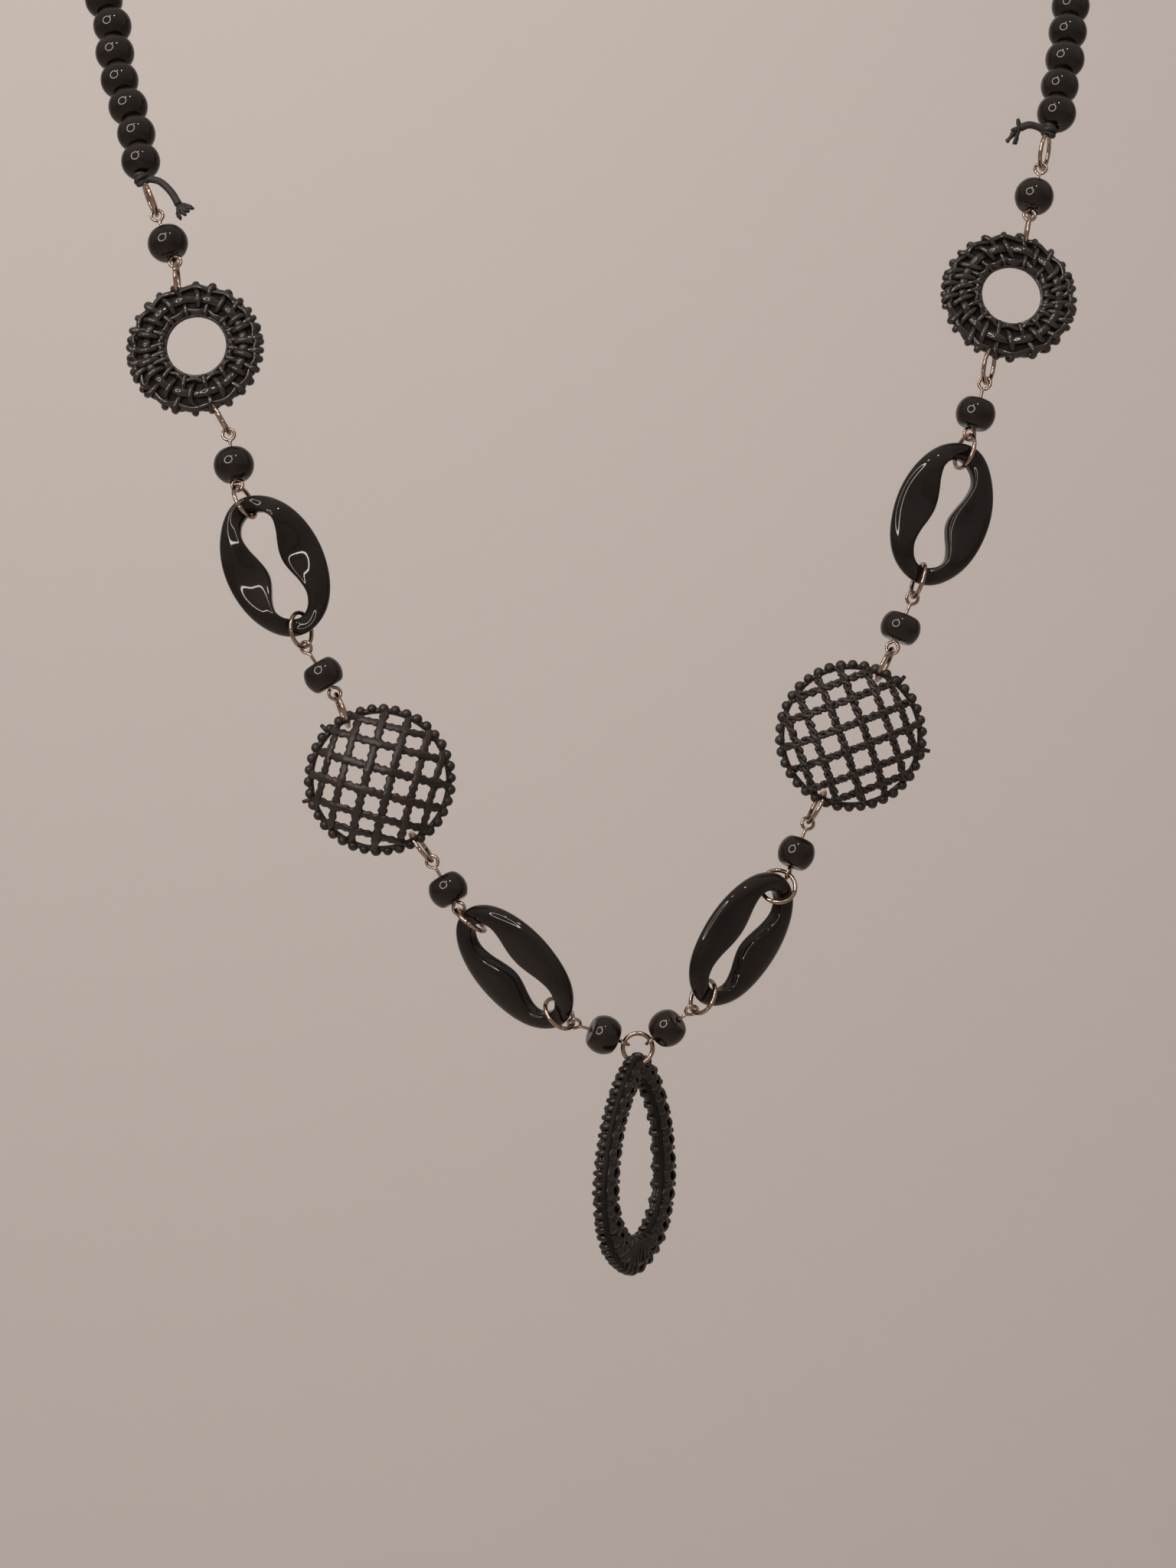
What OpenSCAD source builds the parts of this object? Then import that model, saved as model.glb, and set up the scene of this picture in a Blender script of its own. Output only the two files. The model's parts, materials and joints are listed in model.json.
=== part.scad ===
// Long necklace: a strand of black beads carries two matching chains of woven rings,
// wavy oval links, domed lattice discs and beads on eye pins, which meet at a small
// centre ring with a woven drop. Millimetres, +Z up, the wearer faces -Y.
// The origin is the middle of the back strand, where it lies on the nape of the neck.

/* [Hang] */
// Height of the nape above the centre ring
drop = 304; // [300:1:308]
// Distance of the centre ring in front of the nape
forward = 190; // [186:1:194]
// Distance of the centre ring to the side of the nape, as the necklace lies
aside = 15; // [13:1:17]

/* [Wire findings] */
// Outer diameter of a jump ring
ring_od = 8; // [7.8:0.1:8.2]
// Wire of a jump ring
ring_wire = 0.9; // [0.8:0.05:0.95]
// Outer diameter of the centre ring
centre_od = 7; // [6.8:0.1:7.2]
// Wire of the centre ring
centre_wire = 0.95; // [0.85:0.05:1]
// Outer diameter of the eye at each end of a pin
eye_od = 3.1; // [3:0.05:3.2]
// Wire of an eye pin
pin_wire = 0.68; // [0.6:0.02:0.72]
// From a bead's centre to the eye that it sits on
low_eye = 4.4; // [4.3:0.05:4.6]
// From a bead's centre to the eye above it, on the free end of the pin
high_eye = 6.6; // [6.4:0.05:6.8]
// Clearance where one piece hangs in another
gap = 0.2; // [0.15:0.01:0.25]

/* [Beads] */
// Diameter of a bead
bead_d = 8; // [7.8:0.1:8.2]
// Length of a bead between its flat ends
bead_len = 7; // [6.8:0.1:7.1]
// Diameter of the hole through a link bead
bead_bore = 1.1; // [0.9:0.1:1.4]
// Number of beads on the strand
strand_beads = 80; // [78:1:81]
// Diameter of the strand's cord
cord_d = 1.2; // [1:0.1:1.4]

/* [Woven rings] */
// Outer diameter of a woven ring
woven_od = 28.2; // [28:0.1:28.6]
// Diameter of its opening
woven_id = 12; // [11:0.5:13]
// Thickness in the middle of the band
woven_thick = 4.2; // [3.8:0.1:4.4]
// Thickness at the edges of the band
woven_edge = 2.2; // [2:0.1:2.4]

/* [Lattice discs] */
// Diameter over the balls of the rim
disc_d = 31.2; // [31:0.1:31.6]
// Diameter of a rim ball
ball_d = 2.3; // [2.1:0.1:2.3]
// Number of rim balls
balls = 38; // [36:1:38]
// Radius of the dome in the middle of its wall
dome_r = 16.3; // [16.1:0.1:16.6]
// Wall of the dome
dome_wall = 1.5; // [1.3:0.1:1.6]
// Width of a lattice bar
bar_w = 1.5; // [1.3:0.1:1.5]

/* [Oval links] */
// Length of an oval link
oval_len = 30.5; // [30:0.5:31]
// Width of an oval link
oval_w = 20.5; // [20:0.5:21]
// Thickness of its band
oval_thick = 4.2; // [3.8:0.1:4.4]
// Height of the wave along its band
oval_wave = 0.6; // [0:0.1:0.8]

/* [Drop] */
// Height of the woven drop
drop_h = 45.5; // [45:0.5:46]
// Width of the woven drop
drop_w = 33; // [32:0.5:34]
// Thickness of its band
drop_thick = 3; // [2.8:0.1:3.2]
// Turn of the drop about the vertical, as it hangs on its ring
drop_turn = 63; // [60:1:66]

/* [Hidden] */

black = [0.13, 0.11, 0.10];
gold = [0.80, 0.58, 0.42];
matt = [0.19, 0.16, 0.15];

ring_r = (ring_od - ring_wire) / 2;
centre_r = (centre_od - centre_wire) / 2;
eye_r = (eye_od - pin_wire) / 2;

// How far each kind of piece reaches from its centre to where the next one bears on it
ring_reach = ring_r - ring_wire / 2;
centre_reach = centre_r - centre_wire / 2;
eye_reach = eye_r - pin_wire / 2;
woven_reach = woven_od / 2 - 1.3;
disc_reach = 13.25;
oval_reach = 11.7;

centre = [aside, -forward, -drop];

// The chains, from the centre ring up. Tilt leans a piece outward in the front view,
// lean takes its upper end back, and turn swings its outer side back. Slack is how much
// nearer the pieces in a ring lie than they would on a taut chain.
KIND = 0;
NUMBER = 1;
TILT = 2;
LEAN = 3;
TURN = 4;
SLACK = 5;
right_start = 59;
right_chain = [
    // kind, number, tilt, lean, turn, slack
    ["bead",  5, 51, -20,   0, 0],
    ["ring",  8, 34, -12, -55, 0.5],
    ["oval",  2, 33,   6,  40, 0],
    ["ring",  7, 43,  20, -50, 1.4],
    ["bead",  4, 21,  10,   0, 0],
    ["ring",  6, 28,  -4, -85, 0],
    ["disc",  0, 24,  -2,   0, 0],
    ["ring",  5, 25,  -2,  78, 0.1],
    ["bead",  3, 21,   3,   0, 0],
    ["ring",  4, 16,  -2, -80, 0],
    ["oval",  1, 20,   5,  12, 0],
    ["ring",  3, 15,   6, -68, 0.8],
    ["bead",  2, 16,   4,   0, 0],
    ["ring",  2, 12,   3,  78, 0],
    ["woven", 0, 17,  13,   0, 0],
    ["ring",  1, 10,  19,  85, 0.3],
    ["bead",  1, 14,  15,   0, 0],
    ["ring",  0, 12,   5,  70, 0]
];
left_start = 69;
left_chain = [
    // kind, number, tilt, lean, turn, slack
    ["bead",  5, 69, -12,   0, 0],
    ["ring",  8, 53, -13, -55, 1.4],
    ["oval",  2, 44,   4,  38, 0],
    ["ring",  7, 51,  25, -80, 1.4],
    ["bead",  4, 31,   6,   0, 0],
    ["ring",  6, 39,  -6, -84, 0],
    ["disc",  0, 31,  -2,   0, 0],
    ["ring",  5, 22,  -5,  80, 0],
    ["bead",  3, 33,  -2,   0, 0],
    ["ring",  4, 12,  -4, -72, 0.4],
    ["oval",  1, 26,   2,   0, 0],
    ["ring",  3, 28,   4, -70, 0.1],
    ["bead",  2, 12,  11,   0, 0],
    ["ring",  2, 32,   0,  85, 0],
    ["woven", 0, 19,   8,   0, 0],
    ["ring",  1,  5,  14,  88, 0],
    ["bead",  1, 23,  12,   0, 0],
    ["ring",  0, 24,   1,  80, 0]
];

// The strand's route between the two knots, over the shoulders and round the nape
left_route = [
    [-91.4, -177.8, -122.8], [-93, -174.8, -115.8], [-95.3, -172.2, -109.4],
    [-97.8, -169.4, -102.6], [-99.2, -166.8, -96.2], [-100.3, -164.2, -89.8],
    [-102.6, -161.6, -83.8], [-105, -152, -64], [-106, -137, -45], [-103, -113, -27],
    [-94, -84, -13], [-78, -54, -5], [-55, -26, -1], [-28, -7, 0]
];
right_route = [
    [28, -7, 0], [55, -26, -1], [78, -54, -5], [94, -84, -13],
    [103, -113, -27], [107, -137, -45], [106, -152, -64], [103.8, -163.2, -84.4],
    [102.6, -165.9, -90.8], [101.9, -168.5, -97], [100.3, -171.2, -103.3], [99.4, -174, -109.8]
];
// Where each knot's tail leaves the knot's middle, and the way it goes
left_root = [1.3, -0.1, 0.5];
left_tail = [7.7, -1.6, -5.4];
right_root = [-1, 0, 0.5];
right_tail = [-5.6, -0.2, 1];

// Half of the drop's band from its tip down: the outer edge, then the inner one
drop_rows = [
    // outer x, outer depth, inner x, inner depth
    [0,    0,    0,    5.6],
    [3.6,  1.1,  1.6,  6.0],
    [8.4,  5.3,  4.0,  8.2],
    [11.4, 9.5,  6.4,  11.4],
    [13.7, 13.9, 8.3,  14.8],
    [15.4, 19.0, 9.6,  19.2],
    [16.5, 24.9, 10.3, 24.6],
    [16.1, 30.3, 9.9,  29.4],
    [14.6, 35.3, 8.3,  32.9],
    [12.0, 39.4, 6.3,  35.1],
    [8.0,  42.8, 4.1,  36.4],
    [3.9,  44.9, 2.0,  37.0],
    [0,    45.5, 0,    37.1]
];
drop_table_h = 45.5;
drop_table_w = 33;

// A quarter of an oval link's opening, by the angle on its outer edge from the tip
oval_hole = [
    // angle, half width, height
    [0,  0,    11.7],
    [15, 1.6,  11.2],
    [30, 2.9,  10.1],
    [45, 3.65, 8.2],
    [58, 3.3,  5.7],
    [69, 2.5,  3.4],
    [80, 1.95, 1.5],
    [90, 1.8,  0]
];
oval_skew = 0.9;

function unit(v) = v / norm(v);
function side_sign(s) = s == "l" ? -1 : 1;
function chain(s) = s == "l" ? left_chain : right_chain;
function start(s) = s == "l" ? left_start : right_start;
function direction(s, tilt, lean) =
    [side_sign(s) * sin(tilt) * cos(lean), sin(lean), cos(tilt) * cos(lean)];

// The length that a piece takes up in the chain, and its centre along that length
function span(row) =
    row[KIND] == "bead" ? low_eye + high_eye + 2 * eye_reach - gap :
    row[KIND] == "ring" ? 2 * ring_reach - gap - row[SLACK] :
    row[KIND] == "woven" ? 2 * woven_reach - gap :
    row[KIND] == "disc" ? 2 * disc_reach - gap :
    2 * oval_reach - gap;
// A slack ring still hangs on the bead's eye, so its slack is at the other piece
function middle(s, k) =
    let (row = chain(s)[k])
    row[KIND] == "bead" ? low_eye + eye_reach - gap / 2 :
    row[KIND] != "ring" ? span(row) / 2 :
    chain(s)[k - 1][KIND] == "bead" ? ring_reach - gap / 2 :
    span(row) - ring_reach + gap / 2;

function heading(s, k) = direction(s, chain(s)[k][TILT], chain(s)[k][LEAN]);
function link_point(s, k) = k == 0
    ? centre + (centre_reach - gap / 2) * direction(s, start(s), 0)
    : link_point(s, k - 1) + span(chain(s)[k - 1]) * heading(s, k - 1);
function link_index(s, kind, number) =
    [for (k = [0:len(chain(s)) - 1])
        if (chain(s)[k][KIND] == kind && chain(s)[k][NUMBER] == number) k][0];
function piece_centre(s, k) = link_point(s, k) + middle(s, k) * heading(s, k);

// Catmull-Rom curve through points p at parameter t, which counts the points
function curve(p, t) =
    let (last = len(p) - 1,
         i = min(floor(t), last - 1),
         u = t - i,
         a = p[max(i - 1, 0)], b = p[i], c = p[i + 1], d = p[min(i + 2, last)])
    0.5 * (2 * b + (c - a) * u + (2 * a - 5 * b + 4 * c - d) * u * u
        + (3 * b - a - 3 * c + d) * u * u * u);

// The strand's route as fine steps, with the length run so far
left_end = link_point("l", 18);
right_end = link_point("r", 18);
route = concat([left_end], left_route, [[0, 0, 0]], right_route, [right_end]);
fine = [for (t = [0:1 / 8:len(route) - 1]) curve(route, t)];
function running(p, i = 0, total = 0) =
    i == len(p) - 1 ? [total] :
    concat([total], running(p, i + 1, total + norm(p[i + 1] - p[i])));
run = running(fine);
route_len = run[len(run) - 1];
function on_route(d) = [for (axis = [0:2])
    lookup(d, [for (i = [0:len(fine) - 1]) [run[i], fine[i][axis]]])];
// The first bead's centre lies past the knot; the runs of beads keep a little more room
knot_len = 6.45;
groups = 8;
group_room = 0.45;
pitch = (route_len - 2 * knot_len - (groups - 1) * group_room) / (strand_beads - 1);
function group_start(g) = round(g * strand_beads / groups);
function group_of(i) = len([for (g = [1:groups - 1]) if (group_start(g) <= i) g]);
function bead_at(i) = knot_len + i * pitch + group_of(i) * group_room;

// Turns +Z to v
module aim(v) {
    u = unit(v);
    rotate([0, acos(u[2]), atan2(u[1], u[0])]) children();
}

// Puts a piece at step k of a chain, built for the right side and mirrored on the left
module place(s, k) {
    row = chain(s)[k];
    translate(piece_centre(s, k))
        mirror([s == "l" ? 1 : 0, 0, 0])
        rotate([0, row[TILT], 0])
        rotate([-row[LEAN], 0, 0])
        rotate([0, 0, row[TURN]])
        children();
}

// A ring of wire in the XZ plane
module wire_ring(r, wire) {
    rotate([90, 0, 0])
        rotate_extrude($fn = 64)
        translate([r, 0])
        circle(d = wire, $fn = 24);
}

module rod(from, to, d) {
    translate(from)
        aim(to - from)
        cylinder(d = d, h = norm(to - from), $fn = 24);
}

// A closed band: each station has a centre, a half-width vector and a half-thickness vector
module closed_band(stations, sides = 12) {
    n = len(stations);
    function swell(x) = sign(x) * pow(abs(x), 0.75);
    points = [for (q = stations, j = [0:sides - 1])
        let (a = 360 * j / sides)
        q[0] + swell(cos(a)) * q[1] + swell(sin(a)) * q[2]];
    faces = [for (i = [0:n - 1], j = [0:sides - 1])
        let (i2 = (i + 1) % n, j2 = (j + 1) % sides)
        [i * sides + j, i * sides + j2, i2 * sides + j2, i2 * sides + j]];
    polyhedron(points, faces, convexity = 6);
}

// A hole across a band along Y, wider at both faces so that a ring can pass
module waisted_hole(waist_r, face_r, depth) {
    for (a = [90, -90])
        rotate([a, 0, 0])
        translate([0, 0, -0.01])
        cylinder(r1 = waist_r, r2 = face_r, h = depth, $fn = 48);
}

module jump_ring(s, i) {
    color(gold)
        place(s, link_index(s, "ring", i))
        wire_ring(ring_r, ring_wire);
}

module centre_ring() {
    color(gold)
        translate(centre)
        wire_ring(centre_r, centre_wire);
}

// A wire through the bead with an eye at each end, square to the ring that hangs in it
module eye_pin(s, i) {
    k = link_index(s, "bead", i);
    low_turn = (k == 0 ? 0 : chain(s)[k - 1][TURN]) + 90;
    high_turn = chain(s)[k + 1][TURN] + 90;
    color(gold)
        place(s, k) {
            translate([0, 0, eye_r - low_eye])
                cylinder(d = pin_wire, h = low_eye + high_eye - 2 * eye_r, $fn = 24);
            translate([0, 0, -low_eye])
                rotate([0, 0, low_turn])
                wire_ring(eye_r, pin_wire);
            translate([0, 0, high_eye])
                rotate([0, 0, high_turn])
                wire_ring(eye_r, pin_wire);
        }
}

module bead_body() {
    intersection() {
        sphere(d = bead_d, $fn = 64);
        cube([bead_d + 1, bead_d + 1, bead_len], center = true);
    }
}

module link_bead(s, i) {
    color(black)
        place(s, link_index(s, "bead", i))
        difference() {
            bead_body();
            cylinder(d = bead_bore, h = bead_len + 1, center = true, $fn = 32);
            for (z = [-low_eye, low_eye])
                translate([0, 0, z])
                sphere(d = eye_od + 2 * gap, $fn = 48);
        }
}

module woven_ring(s) {
    mid_r = (woven_od + woven_id) / 4;
    band_w = (woven_od - woven_id) / 2;
    crown = (woven_thick - woven_edge) / 2;
    crown_r = (pow(band_w / 2, 2) + crown * crown) / (2 * crown);
    hole_r = 1;
    color(black)
        place(s, link_index(s, "woven", 0))
        difference() {
            rotate([90, 0, 0])
                rotate_extrude($fn = 96)
                intersection() {
                    translate([mid_r - band_w / 2, -woven_thick])
                        square([band_w, 2 * woven_thick]);
                    translate([mid_r, woven_thick / 2 - crown_r])
                        circle(r = crown_r, $fn = 128);
                    translate([mid_r, crown_r - woven_thick / 2])
                        circle(r = crown_r, $fn = 128);
                }
            for (z = [-1, 1])
                translate([0, 0, z * (woven_reach - hole_r)])
                waisted_hole(hole_r, hole_r + 1.5, woven_thick / 2 + 0.3);
        }
}

// A dome of crossing bars on a rim of small balls, with its crown towards the front
module lattice_disc(s) {
    rim_r = disc_d / 2 - ball_d / 2;
    rim_tube = 0.9;
    tube_r = disc_reach + rim_tube;
    // the rim's plane cuts the dome's sphere at the tube's radius
    dome_back = sqrt(dome_r * dome_r - tube_r * tube_r);
    bar_steps = [-11.1, -7.3, -2.45, 2.45, 7.3, 11.1];
    stub_angles = [17, 76];
    color(matt)
        place(s, link_index(s, "disc", 0)) {
            intersection() {
                translate([0, dome_back, 0])
                    difference() {
                        sphere(r = dome_r + dome_wall / 2, $fn = 96);
                        sphere(r = dome_r - dome_wall / 2, $fn = 96);
                    }
                rotate([90, 0, 0])
                    translate([0, 0, -0.3])
                    linear_extrude(height = dome_r)
                    intersection() {
                        circle(r = tube_r, $fn = 96);
                        rotate(45)
                            union() {
                                for (x = bar_steps) {
                                    translate([x - bar_w / 2, -dome_r])
                                        square([bar_w, 2 * dome_r]);
                                    translate([-dome_r, x - bar_w / 2])
                                        square([2 * dome_r, bar_w]);
                                }
                            }
                    }
            }
            wire_ring(tube_r, 2 * rim_tube);
            for (i = [0:balls - 1])
                rotate([0, (i + 0.5) * 360 / balls, 0])
                translate([0, 0, rim_r])
                sphere(d = ball_d, $fn = 16);
            for (a = stub_angles)
                rotate([0, a, 0])
                translate([0, 0, tube_r])
                cylinder(d = 1.1, h = 2.4, $fn = 24);
        }
}

function oval_column(angle, column) =
    lookup(angle, [for (row = oval_hole) [row[0], row[column]]]);
function oval_station(a) =
    let (fold = a <= 90 ? a : a <= 180 ? 180 - a : a <= 270 ? a - 180 : 360 - a,
         outer = [oval_w / 2 * sin(a), 0, oval_len / 2 * cos(a)],
         skew = -oval_skew * sin(a) * abs(sin(a)),
         inner = [sign(sin(a)) * oval_column(fold, 1), 0,
                  sign(cos(a)) * oval_column(fold, 2) + skew],
         rise = [0, oval_wave * sin(2 * a), 0])
    [(outer + inner) / 2 + rise, (outer - inner) / 2,
        [0, oval_thick / 2 * (1 - 0.24 * pow(cos(a), 4)), 0]];

module oval_link(s, i) {
    color(black)
        place(s, link_index(s, "oval", i))
        closed_band([for (a = [0:9:351]) oval_station(a)]);
}

function drop_station(t) =
    let (rows = len(drop_rows) - 1,
         right = t <= rows,
         row = curve(drop_rows, right ? t : 2 * rows - t),
         fx = (right ? 1 : -1) * drop_w / drop_table_w,
         fz = drop_h / drop_table_h,
         outer = [fx * row[0], 0, -fz * row[1]],
         inner = [fx * row[2], 0, -fz * row[3]])
    [(outer + inner) / 2, (outer - inner) / 2, [0, drop_thick / 2, 0]];

// The drop hangs on the centre ring's lowest wire by a hole under its tip
module drop_pendant() {
    tip = 1.3;
    hole_r = 1.3;
    color(black)
        translate(centre - [0, 0, centre_r])
        rotate([0, 0, drop_turn])
        difference() {
            translate([0, 0, centre_wire / 2 + gap + tip])
                closed_band([for (t = [0:0.5:23.5]) drop_station(t)]);
            translate([0, 0, centre_wire / 2 + gap - hole_r])
                waisted_hole(hole_r, hole_r + 1, drop_thick / 2 + 0.3);
        }
}

// The cord's knot, tied round the wire of the last jump ring, and its short tail
module cord_knot(s) {
    k = 18;
    foot = link_point(s, k);
    up = heading(s, k - 1);
    knot_centre = foot + 0.9 * up;
    root = knot_centre + (s == "l" ? left_root : right_root);
    tail = s == "l" ? left_tail : right_tail;
    color(black)
        difference() {
            union() {
                translate(knot_centre)
                    aim(up)
                    sphere(d = 3.4, $fn = 48);
                rod(root, root + tail, cord_d + 0.2);
            }
            place(s, k - 1)
                wire_ring(ring_r, ring_wire + 2 * 0.15);
        }
}

// A run of strand beads, joined where they lie flat against each other on the cord
module bead_strand(g) {
    from = group_start(g - 1);
    to = group_start(g) - 1;
    color(black)
        for (i = [from:to])
            translate(on_route(bead_at(i)))
            aim(on_route(bead_at(i) + 0.6) - on_route(bead_at(i) - 0.6))
            difference() {
                sphere(d = bead_d, $fn = 48);
                if (i == from)
                    translate([0, 0, -bead_len / 2 - bead_d / 2])
                        cube(bead_d, center = true);
                if (i == to)
                    translate([0, 0, bead_len / 2 + bead_d / 2])
                        cube(bead_d, center = true);
            }
}

drop_pendant();
centre_ring();
for (s = ["l", "r"]) {
    for (i = [1:5]) {
        link_bead(s, i);
        eye_pin(s, i);
    }
    for (i = [0:8])
        jump_ring(s, i);
    for (i = [1:2])
        oval_link(s, i);
    woven_ring(s);
    lattice_disc(s);
    cord_knot(s);
}
for (i = [1:8])
    bead_strand(i);
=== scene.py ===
import json
import math
import random

import bpy
import numpy as np
from mathutils import Matrix, Vector

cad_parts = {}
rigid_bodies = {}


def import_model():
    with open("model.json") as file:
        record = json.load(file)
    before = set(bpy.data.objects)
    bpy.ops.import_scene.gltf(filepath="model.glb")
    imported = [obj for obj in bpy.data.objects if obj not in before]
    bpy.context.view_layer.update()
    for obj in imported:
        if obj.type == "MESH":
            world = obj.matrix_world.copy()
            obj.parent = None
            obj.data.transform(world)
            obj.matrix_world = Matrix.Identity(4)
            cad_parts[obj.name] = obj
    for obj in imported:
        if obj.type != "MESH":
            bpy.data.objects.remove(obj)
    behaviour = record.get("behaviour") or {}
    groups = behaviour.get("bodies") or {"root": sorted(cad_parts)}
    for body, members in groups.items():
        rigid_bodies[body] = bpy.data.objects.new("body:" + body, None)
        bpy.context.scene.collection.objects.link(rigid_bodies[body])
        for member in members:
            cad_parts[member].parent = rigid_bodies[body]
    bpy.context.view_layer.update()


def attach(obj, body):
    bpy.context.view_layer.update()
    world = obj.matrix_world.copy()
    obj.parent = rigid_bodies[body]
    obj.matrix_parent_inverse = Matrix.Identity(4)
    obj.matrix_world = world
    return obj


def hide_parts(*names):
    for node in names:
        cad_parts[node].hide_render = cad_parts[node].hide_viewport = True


PI = math.pi
MM = 0.001
rng = random.Random(7)

scene = bpy.context.scene
for o in list(bpy.data.objects):
    bpy.data.objects.remove(o)
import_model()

# ---------------------------------------------------------------- chain, as in the CAD part
CENTRE = np.array([15.0, -190.0, -304.0])  # the middle of the ring that holds the drop
GAP = 0.2                                  # room between a ring and what hangs on it
RING_R, RING_W = 3.55, 0.45                # a jump ring's radius and that of its wire
CENTRE_R, CENTRE_W = 3.025, 0.475
EYE_R, PIN_W = 1.21, 0.34                  # a pin's eye and its wire
LOW, HIGH = 4.4, 6.6                       # how far a pin's two eyes are from its bead's middle
REACH = {"woven": 12.8, "disc": 13.25, "oval": 11.7}  # from a piece's middle to its rings
# For each side, how far round the centre ring the chain starts, then its pieces upward: the
# kind and number; how far it tilts outward, leans back and is turned round its own length, in
# degrees; and how many millimetres a ring's neighbours are nearer than its full width.
CHAINS = {
    "r": (59, [
        ("bead", 5, 51, -20, 0, 0),
        ("ring", 8, 34, -12, -55, 0.5),
        ("oval", 2, 33, 6, 40, 0),
        ("ring", 7, 43, 20, -16, 1.4),
        ("bead", 4, 21, 10, 0, 0),
        ("ring", 6, 28, -4, -85, 0),
        ("disc", 0, 24, -2, 0, 0),
        ("ring", 5, 25, -2, 78, 0.1),
        ("bead", 3, 21, 3, 0, 0),
        ("ring", 4, 16, -2, -80, 0),
        ("oval", 1, 20, 5, 12, 0),
        ("ring", 3, 15, 6, -68, 0.8),
        ("bead", 2, 16, 4, 0, 0),
        ("ring", 2, 12, 3, 68, 0),
        ("woven", 0, 17, 13, 0, 0),
        ("ring", 1, 10, 19, 85, 0.3),
        ("bead", 1, 14, 15, 0, 0),
        ("ring", 0, 12, 5, 70, 0),
    ]),
    "l": (69, [
        ("bead", 5, 69, -12, 0, 0),
        ("ring", 8, 53, -13, -55, 1.4),
        ("oval", 2, 44, 4, 38, 0),
        ("ring", 7, 51, 25, -80, 1.4),
        ("bead", 4, 31, 6, 0, 0),
        ("ring", 6, 39, -6, -84, 0),
        ("disc", 0, 31, -2, 0, 0),
        ("ring", 5, 22, -5, 80, 0),
        ("bead", 3, 33, -2, 0, 0),
        ("ring", 4, 12, -4, -60, 0.4),
        ("oval", 1, 26, 2, 0, 0),
        ("ring", 3, 28, 4, -70, 0.1),
        ("bead", 2, 12, 11, 0, 0),
        ("ring", 2, 32, 0, 85, 0),
        ("woven", 0, 19, 8, 0, 0),
        ("ring", 1, 5, 14, 88, 0),
        ("bead", 1, 23, 12, 0, 0),
        ("ring", 0, 24, 1, 80, 0),
    ]),
}


def rot(axis, deg):
    return np.array(Matrix.Rotation(math.radians(deg), 3, axis))


def heading(side, tilt, lean):
    t, l = math.radians(tilt), math.radians(lean)
    sign = -1 if side == "l" else 1
    return np.array([sign * math.sin(t) * math.cos(l), math.sin(l), math.cos(t) * math.cos(l)])


def unit(v):
    v = np.asarray(v, float)
    return v / np.linalg.norm(v)


class Place:
    """Where a piece sits: x outward, y back, z up along the chain, mirrored on the left."""

    def __init__(self, side, row, centre):
        m = rot("Y", row[2]) @ rot("X", -row[3]) @ rot("Z", row[4])
        if side == "l":
            m = np.diag([-1.0, 1, 1]) @ m
        self.m, self.c, self.row = m, centre, row

    def out(self, v):
        return np.asarray(v, float) @ self.m.T + self.c


places = {}
ends = {}
for side, (start, rows) in CHAINS.items():
    joint = CENTRE + (CENTRE_R - CENTRE_W - GAP / 2) * heading(side, start, 0)
    for k, row in enumerate(rows):
        h = heading(side, row[2], row[3])
        if row[0] == "bead":
            span = LOW + HIGH + 2 * (EYE_R - PIN_W) - GAP
            mid = LOW + EYE_R - PIN_W - GAP / 2
        elif row[0] == "ring":
            span = 2 * (RING_R - RING_W) - GAP - row[5]
            mid = RING_R - RING_W - GAP / 2
            if rows[k - 1][0] != "bead":
                mid = span - mid
        else:
            span = 2 * REACH[row[0]] - GAP
            mid = span / 2
        places[f"{side}{row[0]}{row[1]}"] = Place(side, row, joint + mid * h)
        joint = joint + span * h
    ends[side] = joint

# the strand's way from the left knot up, round the nape and down to the right knot
LEFT_ROUTE = [
    [-91.4, -177.8, -122.8], [-93, -174.8, -115.8], [-95.3, -172.2, -109.4],
    [-97.8, -169.4, -102.6], [-99.2, -166.8, -96.2], [-100.3, -164.2, -89.8],
    [-102.6, -161.6, -83.8], [-105, -152, -64], [-106, -137, -45], [-103, -113, -27],
    [-94, -84, -13], [-78, -54, -5], [-55, -26, -1], [-28, -7, 0],
]
RIGHT_ROUTE = [
    [28, -7, 0], [55, -26, -1], [78, -54, -5], [94, -84, -13],
    [103, -113, -27], [107, -137, -45], [106, -152, -64], [103.8, -163.2, -84.4],
    [102.6, -165.9, -90.8], [101.9, -168.5, -97], [100.3, -171.2, -103.3], [99.4, -174, -109.8],
]
STRAND_BEADS, GROUPS = 80, 8
PER_GROUP = STRAND_BEADS // GROUPS
KNOT_LEN, GROUP_ROOM = 6.45, 0.45
ROUTE_STEPS = 8


def catmull(points, t):
    """The point at t on a smooth curve through points, which lie at 0, 1, 2 and so on."""
    p = np.asarray(points, float)
    last = len(p) - 1
    i = min(int(t), last - 1)
    u = t - i
    a, b, c, d = p[max(i - 1, 0)], p[i], p[i + 1], p[min(i + 2, last)]
    return 0.5 * (2 * b + (c - a) * u + (2 * a - 5 * b + 4 * c - d) * u * u
                  + (3 * b - a - 3 * c + d) * u ** 3)


route = [ends["l"]] + LEFT_ROUTE + [[0, 0, 0]] + RIGHT_ROUTE + [ends["r"]]
fine = np.array([catmull(route, t / ROUTE_STEPS)
                 for t in range(ROUTE_STEPS * (len(route) - 1) + 1)])
run = np.concatenate([[0], np.cumsum(np.linalg.norm(np.diff(fine, axis=0), axis=1))])
pitch = (run[-1] - 2 * KNOT_LEN - (GROUPS - 1) * GROUP_ROOM) / (STRAND_BEADS - 1)


def on_route(d):
    return np.array([np.interp(d, run, fine[:, k]) for k in range(3)])


def bead_at(i):
    return KNOT_LEN + i * pitch + i // PER_GROUP * GROUP_ROOM


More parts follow.
